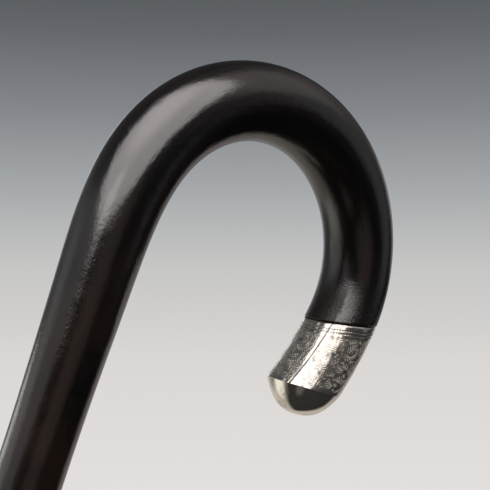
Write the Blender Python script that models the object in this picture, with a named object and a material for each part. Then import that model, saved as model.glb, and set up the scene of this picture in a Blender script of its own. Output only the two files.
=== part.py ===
"""Silver-mounted walking stick.

One length of steam-bent, ebonised wood is both shank and crook. A silver cap is bedded in cement on a
tenon at the nose, and a pinned brass ferrule with a steel tip is driven on the foot.

Metres, +Z up. The shank stands on +Z, the crook turns towards +X, and the origin is the centre of the
foot. A distance "along" the stick is measured on its centreline from where the bend starts: below zero
on the straight shank, and past BEND_LENGTH inside the cap.
"""

import math

import bmesh
import bpy
from mathutils import Vector

MM = 0.001

# The stick
OVERALL_HEIGHT = 915 * MM
CROOK_RADIUS = 49 * MM
CROOK_TURN = math.radians(192)
EASE_LENGTH = 55 * MM

CROOK_DIAMETER = 25.5 * MM
NOSE_DIAMETER = 24.6 * MM
NECK_DIAMETER = 19.8 * MM
FOOT_DIAMETER = 16 * MM
SWELL_START = -55 * MM
SWELL_END = 65 * MM
SHOULDER_ROUNDING = 0.8 * MM

# The silver cap
CAP_DIAMETER = 24.4 * MM
CAP_LENGTH = 26.5 * MM
CAP_BEND_RADIUS = 126 * MM
RIM_SLANT = math.radians(23)
CREASE_SLANT = math.radians(25)
DOME_HEIGHT = 9.7 * MM
DOME_FULLNESS = 2.65
SILVER_WALL = 0.5 * MM
RIM_ROUNDING = 0.15 * MM
BORDER_FROM_RIM = 2.3 * MM
BORDER_SPACING = 1 * MM
BORDER_LINES = 2
BORDER_WIDTH = 0.5 * MM
BORDER_DEPTH = 0.12 * MM
SKIRT_LENGTH = 2.5 * MM
CEMENT_THICKNESS = 0.9 * MM
NOSE_TENON_LENGTH = 17 * MM

# The pin through the cap
CAP_PIN_FROM_RIM = 8 * MM
CAP_PIN_DIAMETER = 1.2 * MM
CAP_PIN_HEAD_DIAMETER = 2.6 * MM
CAP_PIN_HEAD_HEIGHT = 0.6 * MM
CAP_PIN_IN_WOOD = 4 * MM

# The ferrule
FERRULE_TOP = 40 * MM
FERRULE_END_DIAMETER = 13.8 * MM
BRASS_WALL = 0.8 * MM
FERRULE_LIP = 0.4 * MM
TIP_THICKNESS = 4 * MM
TIP_CHAMFER = 0.8 * MM
SPIGOT_TOP = 10 * MM
SPIGOT_CHAMFER = 0.4 * MM
FERRULE_PIN_HEIGHT = 30 * MM
FERRULE_PIN_DIAMETER = 1.6 * MM
FERRULE_PIN_HEAD_DIAMETER = 3 * MM
FERRULE_PIN_HEAD_HEIGHT = 0.6 * MM
FERRULE_PIN_IN_WOOD = 4 * MM

# Clearance between pieces that touch, and how finely round forms are divided
SEAT = 0.3 * MM
AROUND = 48
PIN_AROUND = 20
PROFILE_STEPS = 3
DOME_STEPS = 8
BEND_STEP = 4.5 * MM
SHANK_STEP = 75 * MM
CAP_STEPS = 5
WALK_STEP = 0.5 * MM

BEND_LENGTH = EASE_LENGTH / 2 + CROOK_TURN * CROOK_RADIUS
TOP_OF_BEND = EASE_LENGTH / 2 + math.pi / 2 * CROOK_RADIUS
SLEEVE_BORE_RADIUS = CAP_DIAMETER / 2 - SILVER_WALL
SKIRT_RADIUS = SLEEVE_BORE_RADIUS - SEAT
SKIRT_BORE_RADIUS = SKIRT_RADIUS - SILVER_WALL
CEMENT_RADIUS = SLEEVE_BORE_RADIUS - SEAT
CEMENT_BORE_RADIUS = CEMENT_RADIUS - CEMENT_THICKNESS
NOSE_TENON_RADIUS = CEMENT_BORE_RADIUS - SEAT


def clear_scene():
    for obj in list(bpy.data.objects):
        bpy.data.objects.remove(obj, do_unlink=True)


def make_material(name, colour, roughness, metallic):
    material = bpy.data.materials.new(name)
    material.use_nodes = True
    shader = material.node_tree.nodes["Principled BSDF"]
    shader.inputs["Base Color"].default_value = (*colour, 1)
    shader.inputs["Roughness"].default_value = roughness
    shader.inputs["Metallic"].default_value = metallic
    return material


# The centreline


def ease(share):
    """Goes from 0 to 1 with no slope at either end."""
    share = min(max(share, 0), 1)
    return share * share * (3 - 2 * share)


def heading(along):
    """The centreline's angle from +Z towards +X. The bend tightens over EASE_LENGTH, then is round."""
    if along <= 0:
        return 0.0
    if along < EASE_LENGTH:
        share = along / EASE_LENGTH
        return EASE_LENGTH / CROOK_RADIUS * (share**3 - share**4 / 2)
    if along <= BEND_LENGTH:
        return (along - EASE_LENGTH / 2) / CROOK_RADIUS
    return CROOK_TURN + (along - BEND_LENGTH) / CAP_BEND_RADIUS


def walk_bend():
    """Points of the bend WALK_STEP apart, from its start at the origin."""
    points = [Vector((0, 0, 0))]
    for step in range(math.ceil((BEND_LENGTH + CAP_LENGTH) / WALK_STEP) + 1):
        turn = heading((step + 0.5) * WALK_STEP)
        points.append(points[-1] + WALK_STEP * Vector((math.sin(turn), 0, math.cos(turn))))
    return points


BEND_POINTS = walk_bend()


def tangent(along):
    return Vector((math.sin(heading(along)), 0, math.cos(heading(along))))


def inward(along):
    """Square to the centreline, towards the hollow of the crook."""
    return Vector((math.cos(heading(along)), 0, -math.sin(heading(along))))


def bend_point(along):
    if along <= 0:
        return Vector((0, 0, along))
    step = min(int(along / WALK_STEP), len(BEND_POINTS) - 1)
    rest = along - step * WALK_STEP
    return BEND_POINTS[step] + rest * tangent(along - rest / 2)


def crook_radius_at(along):
    """The wood's radius above the straight shank: it swells into the crook and thins to the nose."""
    if along < SWELL_END:
        swell = ease((along - SWELL_START) / (SWELL_END - SWELL_START))
        return (NECK_DIAMETER + (CROOK_DIAMETER - NECK_DIAMETER) * swell) / 2
    thinning = ease((along - SWELL_END) / (BEND_LENGTH - SWELL_END))
    return (CROOK_DIAMETER + (NOSE_DIAMETER - CROOK_DIAMETER) * thinning) / 2


BEND_START_HEIGHT = OVERALL_HEIGHT - bend_point(TOP_OF_BEND).z - crook_radius_at(TOP_OF_BEND)
FOOT_SHOULDER = FERRULE_TOP + SEAT


def centre(along):
    return bend_point(along) + Vector((0, 0, BEND_START_HEIGHT))


def wood_radius(along):
    if along >= SWELL_START:
        return crook_radius_at(along)
    foot = FOOT_SHOULDER - BEND_START_HEIGHT
    share = (along - foot) / (SWELL_START - foot)
    return (FOOT_DIAMETER + (NECK_DIAMETER - FOOT_DIAMETER) * share) / 2


# Rings round the centreline, and planes that cut across it

ANGLES = [math.tau * step / AROUND for step in range(AROUND)]


def constant(radius):
    return lambda along: radius


def less(radius_at, inset):
    return lambda along: radius_at(along) - inset


def tube_point(along, angle, radius_at):
    out = math.cos(angle) * inward(along) + math.sin(angle) * Vector((0, 1, 0))
    return centre(along) + radius_at(along) * out


def square_ring(along, radius_at):
    return [tube_point(along, angle, radius_at) for angle in ANGLES]


def cut(along, slant=0.0, shift=0.0):
    """A plane across the centreline, leant by slant so that it lies further along on the inner side."""
    normal = math.cos(slant) * tangent(along) - math.sin(slant) * inward(along)
    return along, centre(along) + shift * normal, normal


def meet(plane, angle, radius_at):
    """How far along the tube's line at this angle passes the plane, by halving the reach."""
    station, point, normal = plane
    low = station - CAP_DIAMETER
    high = station + CAP_DIAMETER
    while high - low > 1e-7:
        middle = (low + high) / 2
        if (tube_point(middle, angle, radius_at) - point).dot(normal) < 0:
            low = middle
        else:
            high = middle
    return (low + high) / 2


def cut_ring(plane, radius_at):
    return [tube_point(meet(plane, angle, radius_at), angle, radius_at) for angle in ANGLES]


def fan_rings(first, last, radius_at, count):
    """The rings between two planes, each turned a little further from the first plane to the last."""
    starts = [meet(first, angle, radius_at) for angle in ANGLES]
    ends = [meet(last, angle, radius_at) for angle in ANGLES]
    rings = []
    for step in range(1, count):
        share = step / count
        alongs = [start + (end - start) * share for start, end in zip(starts, ends)]
        rings.append([tube_point(*where, radius_at) for where in zip(alongs, ANGLES)])
    return rings


def rim(shift):
    return cut(BEND_LENGTH, RIM_SLANT, shift)


def crease(shift):
    return cut(BEND_LENGTH + CAP_LENGTH, CREASE_SLANT, shift)


# Making solids


def finish(name, bm, material, sharp=math.radians(35)):
    bmesh.ops.recalc_face_normals(bm, faces=bm.faces)
    mesh = bpy.data.meshes.new(name)
    bm.to_mesh(mesh)
    bm.free()
    mesh.materials.append(material)
    mesh.shade_smooth()
    mesh.set_sharp_from_angle(angle=sharp)
    obj = bpy.data.objects.new(name, mesh)
    bpy.context.collection.objects.link(obj)
    return obj


def join_rings(bm, lower, upper):
    """Faces between two rings of points. A ring of one point makes a fan."""
    count = max(len(lower), len(upper))
    for step in range(count):
        corners = [lower[step % len(lower)], lower[(step + 1) % len(lower)]]
        corners += [upper[(step + 1) % len(upper)], upper[step % len(upper)]]
        bm.faces.new(dict.fromkeys(corners))


def loft(name, rings, material, closed=False):
    """A skin over rings of points. An open skin's end rings are filled, unless they are single points."""
    bm = bmesh.new()
    loops = [[bm.verts.new(point) for point in ring] for ring in rings]
    for lower, upper in zip(loops, loops[1:]):
        join_rings(bm, lower, upper)
    if closed:
        join_rings(bm, loops[-1], loops[0])
    else:
        for end in (loops[0], loops[-1]):
            if len(end) > 2:
                bm.faces.new(end)
    return finish(name, bm, material)


def turn(name, profile, material, steps):
    """Spins a profile of (radius, height) points round Z. Its two ends lie on the axis, or it closes."""
    bm = bmesh.new()
    points = [bm.verts.new((radius, 0, height)) for radius, height in profile]
    edges = [bm.edges.new(pair) for pair in zip(points, points[1:])]
    if profile[0][0] > 0:
        edges.append(bm.edges.new((points[-1], points[0])))
    bmesh.ops.spin(
        bm, geom=points + edges, cent=(0, 0, 0), axis=(0, 0, 1), angle=math.tau, steps=steps
    )
    bmesh.ops.remove_doubles(bm, verts=bm.verts, dist=1e-7)
    return finish(name, bm, material)


def quarter_turn():
    """(sine, cosine) pairs from 0 to 90 degrees, for a rounded corner or a pin's head."""
    angles = [math.pi / 2 * step / PROFILE_STEPS for step in range(PROFILE_STEPS + 1)]
    return [(math.sin(angle), math.cos(angle)) for angle in angles]


def drill(target, drill_name, centre_point, rotation, diameter, depth_from, depth_to):
    """Bores a hole along the drill's own Z axis."""
    bm = bmesh.new()
    bmesh.ops.create_cone(
        bm,
        cap_ends=True,
        segments=PIN_AROUND,
        radius1=diameter / 2,
        radius2=diameter / 2,
        depth=depth_to - depth_from,
    )
    bmesh.ops.translate(bm, verts=bm.verts, vec=(0, 0, (depth_from + depth_to) / 2))
    mesh = bpy.data.meshes.new(drill_name)
    bm.to_mesh(mesh)
    bm.free()
    cutter = bpy.data.objects.new(drill_name, mesh)
    bpy.context.collection.objects.link(cutter)
    cutter.location = centre_point
    cutter.rotation_euler = rotation
    cutter.hide_render = True
    cutter.display_type = "WIRE"
    modifier = target.modifiers.new(drill_name, "BOOLEAN")
    modifier.operation = "DIFFERENCE"
    modifier.solver = "EXACT"
    modifier.object = cutter
    return cutter


def make_pin(name, material, place, rotation, surface, diameter, head_diameter, head_height, point):
    """A round-headed pin on its own Z axis. Its head seats on the surface, and it ends at point."""
    head_under = surface + SEAT
    profile = [(0, point)]
    profile += [(diameter / 4, point), (diameter / 2, point + diameter / 4)]
    profile += [(diameter / 2, head_under), (head_diameter / 2, head_under)]
    for sine, cosine in quarter_turn()[1:-1]:
        profile.append((head_diameter / 2 * cosine, head_under + head_height * sine))
    profile.append((0, head_under + head_height))
    pin = turn(name, profile, material, PIN_AROUND)
    pin.location = place
    pin.rotation_euler = rotation
    return pin


# The wood


def make_stick(material):
    """Shank and crook in one length, cut back to a tenon at each end."""
    shank_foot = FOOT_SHOULDER - BEND_START_HEIGHT
    tenon_foot = SPIGOT_TOP + SEAT - BEND_START_HEIGHT
    rings = [square_ring(tenon_foot, foot_tenon_radius), square_ring(shank_foot, foot_tenon_radius)]
    rings.append(square_ring(shank_foot, wood_radius))

    shank_steps = math.ceil((SWELL_START - shank_foot) / SHANK_STEP)
    for step in range(1, shank_steps):
        along = shank_foot + (SWELL_START - shank_foot) * step / shank_steps
        rings.append(square_ring(along, wood_radius))

    bend_end = BEND_LENGTH - NOSE_DIAMETER
    bend_steps = math.ceil((bend_end - SWELL_START) / BEND_STEP)
    for step in range(bend_steps + 1):
        along = SWELL_START + (bend_end - SWELL_START) * step / bend_steps
        rings.append(square_ring(along, wood_radius))

    corner_start = rim(-SEAT - SHOULDER_ROUNDING)
    rings += fan_rings(cut(bend_end), corner_start, wood_radius, CAP_STEPS)
    for sine, cosine in quarter_turn():
        shift = -SEAT - SHOULDER_ROUNDING * (1 - sine)
        inset = SHOULDER_ROUNDING * (1 - cosine)
        rings.append(cut_ring(rim(shift), less(wood_radius, inset)))

    tenon = constant(NOSE_TENON_RADIUS)
    tenon_end = BEND_LENGTH + NOSE_TENON_LENGTH
    rings.append(cut_ring(rim(-SEAT), tenon))
    rings += fan_rings(rim(-SEAT), cut(tenon_end), tenon, CAP_STEPS)
    rings.append(square_ring(tenon_end, tenon))
    return loft("stick", rings, material)


# The silver cap


def make_cap_sleeve(material):
    """A thin tube bent on with the crook. Its rim is slanted, with sunk border lines under it."""
    outside = CAP_DIAMETER / 2
    steps = [(RIM_ROUNDING, outside)]
    for line in range(BORDER_LINES):
        middle = BORDER_FROM_RIM + BORDER_SPACING * line
        steps.append((middle - BORDER_WIDTH / 2, outside))
        steps.append((middle - BORDER_WIDTH / 5, outside - BORDER_DEPTH))
        steps.append((middle + BORDER_WIDTH / 5, outside - BORDER_DEPTH))
        steps.append((middle + BORDER_WIDTH / 2, outside))
    rings = [cut_ring(rim(0), constant(outside - RIM_ROUNDING))]
    rings += [cut_ring(rim(shift), constant(radius)) for shift, radius in steps]
    rings += fan_rings(rim(steps[-1][0]), crease(0), constant(outside), CAP_STEPS)
    rings.append(cut_ring(crease(0), constant(outside)))
    rings.append(cut_ring(crease(0), constant(SLEEVE_BORE_RADIUS)))
    rings += fan_rings(crease(0), rim(0), constant(SLEEVE_BORE_RADIUS), CAP_STEPS)
    rings.append(cut_ring(rim(0), constant(SLEEVE_BORE_RADIUS)))
    return loft("cap_sleeve", rings, material, closed=True)


def dome_rings(radius, height, shift):
    """Rings of a dome that stands square on the slanted crease, from its pole to its edge. A fullness
    of 2 would make a parabola, and more makes a flatter end with a rounder shoulder."""
    crease_at = BEND_LENGTH + CAP_LENGTH
    _, middle, normal = crease(0)
    middle = middle + shift / math.cos(CREASE_SLANT) * tangent(crease_at)
    rings = [[middle + height * normal]]
    for step in range(1, DOME_STEPS + 1):
        share = math.sin(math.pi / 2 * step / DOME_STEPS)
        rise = height * (1 - share**DOME_FULLNESS)
        ring = []
        for angle in ANGLES:
            u = radius * share * math.cos(angle)
            on_cut = u * inward(crease_at) + u * math.tan(CREASE_SLANT) * tangent(crease_at)
            sideways = Vector((0, radius * share * math.sin(angle), 0))
            ring.append(middle + on_cut + sideways + rise * normal)
        rings.append(ring)
    return rings


def make_cap_dome(material):
    """A stamped dome that closes the sleeve, with a skirt turned up inside it."""
    outer = dome_rings(CAP_DIAMETER / 2, DOME_HEIGHT - SEAT, SEAT)
    inner = dome_rings(SKIRT_BORE_RADIUS, DOME_HEIGHT - SEAT - SILVER_WALL, SEAT)
    skirt = [cut_ring(crease(SEAT), constant(SKIRT_RADIUS))]
    skirt.append(cut_ring(crease(-SKIRT_LENGTH), constant(SKIRT_RADIUS)))
    skirt.append(cut_ring(crease(-SKIRT_LENGTH), constant(SKIRT_BORE_RADIUS)))
    return loft("cap_dome", outer + skirt + inner[::-1], material)


def make_cap_cement(material):
    """The filling that beds the cap: a cup round the tenon that also backs the dome."""
    core = constant(SKIRT_BORE_RADIUS - SEAT)
    wall = constant(CEMENT_RADIUS)
    bore = constant(CEMENT_BORE_RADIUS)
    skirt_top = crease(-SKIRT_LENGTH - SEAT)
    floor_at = BEND_LENGTH + NOSE_TENON_LENGTH + SEAT
    backing = dome_rings(SKIRT_BORE_RADIUS - SEAT, DOME_HEIGHT - SILVER_WALL - 2 * SEAT, 0)
    rings = backing + [cut_ring(skirt_top, core), cut_ring(skirt_top, wall)]
    rings += fan_rings(skirt_top, rim(0), wall, CAP_STEPS)
    rings += [cut_ring(rim(0), wall), cut_ring(rim(0), bore)]
    rings += fan_rings(rim(0), cut(floor_at), bore, CAP_STEPS)
    rings += [square_ring(floor_at, bore), [centre(floor_at)]]
    return loft("cap_cement", rings, material)


def fit_cap_pin(stick, cement, sleeve, material):
    """The pin goes in square to the crook, on its outer side."""
    along = BEND_LENGTH + CAP_PIN_FROM_RIM
    outward = (0, heading(along) - math.pi / 2, 0)
    surface = CAP_DIAMETER / 2
    point = NOSE_TENON_RADIUS - CAP_PIN_IN_WOOD
    hole = CAP_PIN_DIAMETER + 2 * SEAT
    for target in (stick, cement, sleeve):
        name = f"cap_pin_hole_in_{target.name}"
        reach = surface + CAP_PIN_HEAD_HEIGHT
        drill(target, name, centre(along), outward, hole, point - SEAT, reach)
    sizes = (CAP_PIN_DIAMETER, CAP_PIN_HEAD_DIAMETER, CAP_PIN_HEAD_HEIGHT)
    make_pin("cap_pin", material, centre(along), outward, surface, *sizes, point)


# The ferrule


def ferrule_radius(height):
    """Outside of the brass tube. It tapers from the wood's own size down to the tip."""
    share = (height - TIP_THICKNESS) / (FERRULE_TOP - TIP_THICKNESS)
    return (FERRULE_END_DIAMETER + (FOOT_DIAMETER - FERRULE_END_DIAMETER) * share) / 2


def ferrule_bore(height):
    return ferrule_radius(height) - BRASS_WALL


def foot_tenon_radius(along):
    return ferrule_bore(BEND_START_HEIGHT + along) - SEAT


def make_ferrule_sleeve(material):
    bottom = TIP_THICKNESS + SEAT
    lip = FERRULE_TOP - FERRULE_LIP
    profile = [(ferrule_bore(bottom), bottom), (ferrule_radius(bottom), bottom)]
    profile += [(ferrule_radius(lip), lip), (ferrule_radius(lip) - FERRULE_LIP / 2, FERRULE_TOP)]
    profile.append((ferrule_bore(FERRULE_TOP), FERRULE_TOP))
    return turn("ferrule_sleeve", profile, material, AROUND)


def make_ferrule_tip(material):
    """A steel wearing disc with a spigot that is brazed into the brass."""
    disc = FERRULE_END_DIAMETER / 2
    spigot = ferrule_bore(TIP_THICKNESS + SEAT) - SEAT
    profile = [(0, 0), (disc - TIP_CHAMFER, 0), (disc, TIP_CHAMFER), (disc, TIP_THICKNESS)]
    profile += [(spigot, TIP_THICKNESS), (spigot, SPIGOT_TOP - SPIGOT_CHAMFER)]
    profile += [(spigot - SPIGOT_CHAMFER, SPIGOT_TOP), (0, SPIGOT_TOP)]
    return turn("ferrule_tip", profile, material, AROUND)


def fit_ferrule_pins(stick, sleeve, material):
    at = Vector((0, 0, FERRULE_PIN_HEIGHT))
    surface = ferrule_radius(FERRULE_PIN_HEIGHT)
    point = surface - BRASS_WALL - SEAT - FERRULE_PIN_IN_WOOD
    hole = FERRULE_PIN_DIAMETER + 2 * SEAT
    sizes = (FERRULE_PIN_DIAMETER, FERRULE_PIN_HEAD_DIAMETER, FERRULE_PIN_HEAD_HEIGHT)
    for side, angle in (("left", -math.pi / 2), ("right", math.pi / 2)):
        rotation = (angle, 0, 0)
        for target in (stick, sleeve):
            name = f"{side}_pin_hole_in_{target.name}"
            reach = surface + FERRULE_PIN_HEAD_HEIGHT
            drill(target, name, at, rotation, hole, point - SEAT, reach)
        make_pin(f"ferrule_pin_{side}", material, at, rotation, surface, *sizes, point)


def build():
    clear_scene()
    ebonised = make_material("ebonised_wood", (0.012, 0.009, 0.008), 0.28, 0)
    silver = make_material("silver", (0.86, 0.83, 0.77), 0.18, 1)
    pitch = make_material("pitch_cement", (0.22, 0.09, 0.04), 0.6, 0)
    brass = make_material("brass", (0.71, 0.52, 0.25), 0.3, 1)
    steel = make_material("steel", (0.46, 0.45, 0.44), 0.4, 1)

    stick = make_stick(ebonised)
    sleeve = make_cap_sleeve(silver)
    make_cap_dome(silver)
    cement = make_cap_cement(pitch)
    fit_cap_pin(stick, cement, sleeve, silver)
    ferrule = make_ferrule_sleeve(brass)
    make_ferrule_tip(steel)
    fit_ferrule_pins(stick, ferrule, brass)


build()
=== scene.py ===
import math

import bmesh
import bpy
import numpy as np
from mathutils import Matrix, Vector


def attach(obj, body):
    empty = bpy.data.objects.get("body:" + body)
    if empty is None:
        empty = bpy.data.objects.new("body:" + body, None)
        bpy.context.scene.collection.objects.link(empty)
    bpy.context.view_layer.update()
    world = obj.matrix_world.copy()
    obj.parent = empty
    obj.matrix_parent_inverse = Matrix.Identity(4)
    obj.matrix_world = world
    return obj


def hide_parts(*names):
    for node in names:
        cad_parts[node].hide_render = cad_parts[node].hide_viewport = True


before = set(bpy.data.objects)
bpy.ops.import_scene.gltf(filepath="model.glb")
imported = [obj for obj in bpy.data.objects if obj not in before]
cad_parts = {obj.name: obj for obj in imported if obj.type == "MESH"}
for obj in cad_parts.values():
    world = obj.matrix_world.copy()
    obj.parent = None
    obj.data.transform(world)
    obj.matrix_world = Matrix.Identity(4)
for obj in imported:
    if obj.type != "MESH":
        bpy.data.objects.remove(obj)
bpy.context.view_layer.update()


# The stick
# Shank and crook are one length of close-grained hardwood, steamed and bent round a former, stained
# black and lacquered. Each end is cut back to a tenon, for the silver cap and for the ferrule.

MM = 0.001

OVERALL_HEIGHT = 915 * MM
CROOK_RADIUS = 49 * MM
CROOK_TURN = math.radians(192)
EASE_LENGTH = 55 * MM
CROOK_DIAMETER = 25.5 * MM
NOSE_DIAMETER = 24.6 * MM
NECK_DIAMETER = 19.8 * MM
FOOT_DIAMETER = 16 * MM
SWELL_START = -55 * MM
SWELL_END = 65 * MM
SHOULDER_ROUNDING = 0.9 * MM
HAND_FINISH = 0.03 * MM
SCRAPER_WAVES = (8.7 * MM, 19.1 * MM, 31 * MM)

# The silver cap carries on along the crook's line, with a gentler bend, from its slanted rim
CAP_LENGTH = 26.5 * MM
CAP_BEND_RADIUS = 126 * MM
RIM_SLANT = math.radians(23)
GLUE_LINE = 0.1 * MM

NOSE_TENON_RADIUS = 10.2 * MM
NOSE_TENON_LENGTH = 17 * MM
FOOT_SHOULDER = 40.3 * MM
FOOT_TENON_END = 10.3 * MM
FOOT_TENON_RADII = (6.9 * MM, 5.99 * MM)

# How finely the wood is meshed
WOOD_AROUND = 128
SHANK_STEP = 6 * MM
BEND_STEP = 1.5 * MM
NOSE_STEPS = 18
CORNER_STEPS = 6
TENON_STEPS = 8
CUT_HALVINGS = 24
SHARP_EDGE = math.radians(50)

BEND_LENGTH = EASE_LENGTH / 2 + CROOK_TURN * CROOK_RADIUS
TOP_OF_BEND = EASE_LENGTH / 2 + math.pi / 2 * CROOK_RADIUS
WALK_STEP = 0.25 * MM


def ease(share):
    share = np.clip(share, 0, 1)
    return share * share * (3 - 2 * share)


def heading(along):
    """The centreline's angle from +Z towards +X, at a distance along it from the bend's start."""
    share = np.clip(along / EASE_LENGTH, 0, 1)
    easing = EASE_LENGTH / CROOK_RADIUS * (share**3 - share**4 / 2)
    bend = np.maximum(np.minimum(along, BEND_LENGTH) - EASE_LENGTH, 0) / CROOK_RADIUS
    return easing + bend + np.maximum(along - BEND_LENGTH, 0) / CAP_BEND_RADIUS


# The bent part of the centreline, walked in short steps
WALK_TURNS = heading(np.arange(0, BEND_LENGTH + 1.5 * CAP_LENGTH, WALK_STEP) + WALK_STEP / 2)
WALK_X = np.concatenate([[0], np.cumsum(np.sin(WALK_TURNS))]) * WALK_STEP
WALK_Z = np.concatenate([[0], np.cumsum(np.cos(WALK_TURNS))]) * WALK_STEP
WALK = np.arange(len(WALK_X)) * WALK_STEP


def crook_radius_at(along):
    """The wood swells from its neck into the crook, and thins again to its nose."""
    swell = ease((along - SWELL_START) / (SWELL_END - SWELL_START))
    swelling = (NECK_DIAMETER + (CROOK_DIAMETER - NECK_DIAMETER) * swell) / 2
    thin = ease((along - SWELL_END) / (BEND_LENGTH - SWELL_END))
    thinning = (CROOK_DIAMETER + (NOSE_DIAMETER - CROOK_DIAMETER) * thin) / 2
    return np.where(along < SWELL_END, swelling, thinning)


BEND_HEIGHT = OVERALL_HEIGHT - np.interp(TOP_OF_BEND, WALK, WALK_Z) - crook_radius_at(TOP_OF_BEND)


def wood_radius(along):
    """The same, with the shank's even taper down to the foot."""
    foot = FOOT_SHOULDER - BEND_HEIGHT
    share = (along - foot) / (SWELL_START - foot)
    shank = (FOOT_DIAMETER + (NECK_DIAMETER - FOOT_DIAMETER) * share) / 2
    return np.where(along < SWELL_START, shank, crook_radius_at(along))


def hand_finished(along, angle):
    """The slight waviness that scraping and sanding by hand leave, all of it below the surface."""
    short, middle, long = SCRAPER_WAVES
    waves = np.sin(along / short + 2 * np.sin(angle)) * np.sin(angle * 2 + along / long)
    waves += np.sin(along / middle + np.cos(angle) * 1.7)
    return HAND_FINISH * (waves - 2)


def centre(along):
    x = np.where(along < 0, 0, np.interp(along, WALK, WALK_X))
    z = np.where(along < 0, along, np.interp(along, WALK, WALK_Z))
    return np.stack([x, 0 * x, z + BEND_HEIGHT], -1)


def onward(along):
    turn = heading(along)
    return np.stack([np.sin(turn), 0 * turn, np.cos(turn)], -1)


def inward(along):
    turn = heading(along)
    return np.stack([np.cos(turn), 0 * turn, -np.sin(turn)], -1)


def tube_points(along, angle, radius):
    """Points round the centreline. The angle starts on the inner side of the crook."""
    sideways = np.array([0.0, 1.0, 0.0])
    out = np.cos(angle)[..., None] * inward(along) + np.sin(angle)[..., None] * sideways
    return centre(along) + np.asarray(radius)[..., None] * out


def cut_along(at, slant, shift, angle, radius):
    """Where along the stick each line of the tube at these angles passes a slanted plane."""
    at = np.float64(at)
    normal = math.cos(slant) * onward(at) - math.sin(slant) * inward(at)
    point = centre(at) + shift * normal
    low = np.full(np.shape(angle), at - NOSE_DIAMETER)
    high = np.full(np.shape(angle), at + NOSE_DIAMETER)
    for halving in range(CUT_HALVINGS):
        middle = (low + high) / 2
        before = (tube_points(middle, angle, radius + 0 * middle) - point) @ normal < 0
        low = np.where(before, middle, low)
        high = np.where(before, high, middle)
    return (low + high) / 2


def grid_mesh(name, rings, closed=False):
    """A skin over equal rings of points, an array of rings by points by 3. Faces look outward.

    The first and the last ring are filled or, with closed, joined to each other.
    """
    count, around = rings.shape[:2]
    starts = np.arange(count if closed else count - 1)[:, None] * around
    steps = np.arange(around)[None, :]
    nexts = (steps + 1) % around
    ups = (starts + around) % (count * around)
    quads = np.stack([starts + steps, starts + nexts, ups + nexts, ups + steps], -1)
    faces = quads.reshape(-1, 4).tolist()
    if not closed:
        faces.append(list(range(around))[::-1])
        faces.append(list(range((count - 1) * around, count * around)))
    mesh = bpy.data.meshes.new(name)
    mesh.from_pydata(rings.reshape(-1, 3), [], faces)
    bm = bmesh.new()
    bm.from_mesh(mesh)
    bmesh.ops.recalc_face_normals(bm, faces=bm.faces)
    bm.to_mesh(mesh)
    bm.free()
    mesh.shade_smooth()
    mesh.set_sharp_from_angle(angle=SHARP_EDGE)
    obj = bpy.data.objects.new(name, mesh)
    bpy.context.scene.collection.objects.link(obj)
    return obj


def keep_values(obj, name, values):
    """Stores a number or a vector at every point, for the material to read."""
    kind, field = ("FLOAT_VECTOR", "vector") if np.ndim(values) == 3 else ("FLOAT", "value")
    attribute = obj.data.attributes.new(name, kind, "POINT")
    attribute.data.foreach_set(field, np.ascontiguousarray(values, np.float32).ravel())


WOOD_ANGLES = np.arange(WOOD_AROUND) * math.tau / WOOD_AROUND

# From the foot's tenon to the nose the rings lie square to the centreline
shoulder = FOOT_SHOULDER - BEND_HEIGHT
shank = np.arange(shoulder + SHOULDER_ROUNDING / 2, SWELL_START, SHANK_STEP)
bend = np.arange(SWELL_START, BEND_LENGTH - NOSE_DIAMETER, BEND_STEP)
square = np.concatenate([[FOOT_TENON_END - BEND_HEIGHT, shoulder, shoulder], shank, bend])
wood_along = np.repeat(square[:, None], WOOD_AROUND, 1)
wood_radii = np.repeat(wood_radius(square)[:, None], WOOD_AROUND, 1)
wood_radii[0] = FOOT_TENON_RADII[1]
wood_radii[1] = FOOT_TENON_RADII[0]
wood_radii[2] -= SHOULDER_ROUNDING / 4

# In the nose they lean over to the slanted shoulder, go round its corner and down the tenon
rim_radius = NOSE_DIAMETER / 2
nose_from = wood_along[-1]
shift = -GLUE_LINE - SHOULDER_ROUNDING
nose_to = cut_along(BEND_LENGTH, RIM_SLANT, shift, WOOD_ANGLES, rim_radius)
share = np.arange(1, NOSE_STEPS + 1)[:, None] / NOSE_STEPS
nose = nose_from + (nose_to - nose_from) * share
corner = []
corner_radii = []
for angle in np.linspace(0, math.pi / 2, CORNER_STEPS + 1)[1:]:
    shift = -GLUE_LINE - SHOULDER_ROUNDING * (1 - math.sin(angle))
    corner_radii.append(rim_radius - SHOULDER_ROUNDING * (1 - math.cos(angle)))
    corner.append(cut_along(BEND_LENGTH, RIM_SLANT, shift, WOOD_ANGLES, corner_radii[-1]))
tenon_from = cut_along(BEND_LENGTH, RIM_SLANT, -GLUE_LINE, WOOD_ANGLES, NOSE_TENON_RADIUS)
share = np.arange(TENON_STEPS + 1)[:, None] / TENON_STEPS
tenon = tenon_from + (BEND_LENGTH + NOSE_TENON_LENGTH - tenon_from) * share
wood_along = np.concatenate([wood_along, nose, corner, tenon])
wood_radii = np.concatenate(
    [
        wood_radii,
        wood_radius(nose),
        np.repeat(np.array(corner_radii)[:, None], WOOD_AROUND, 1),
        np.full(tenon.shape, NOSE_TENON_RADIUS),
    ]
)

# Only what shows is finished by hand
wood_angles = np.broadcast_to(WOOD_ANGLES, wood_along.shape)
shown = np.ones(len(wood_along))
shown[:3] = 0
shown[-TENON_STEPS - 1 :] = 0
wood_radii = wood_radii + shown[:, None] * hand_finished(wood_along, wood_angles)
stick = grid_mesh("stick_wood", tube_points(wood_along, wood_angles, wood_radii))
straight = np.stack(
    [wood_radii * np.cos(wood_angles), wood_radii * np.sin(wood_angles), wood_along], -1
)
keep_values(stick, "straight", straight)


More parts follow.
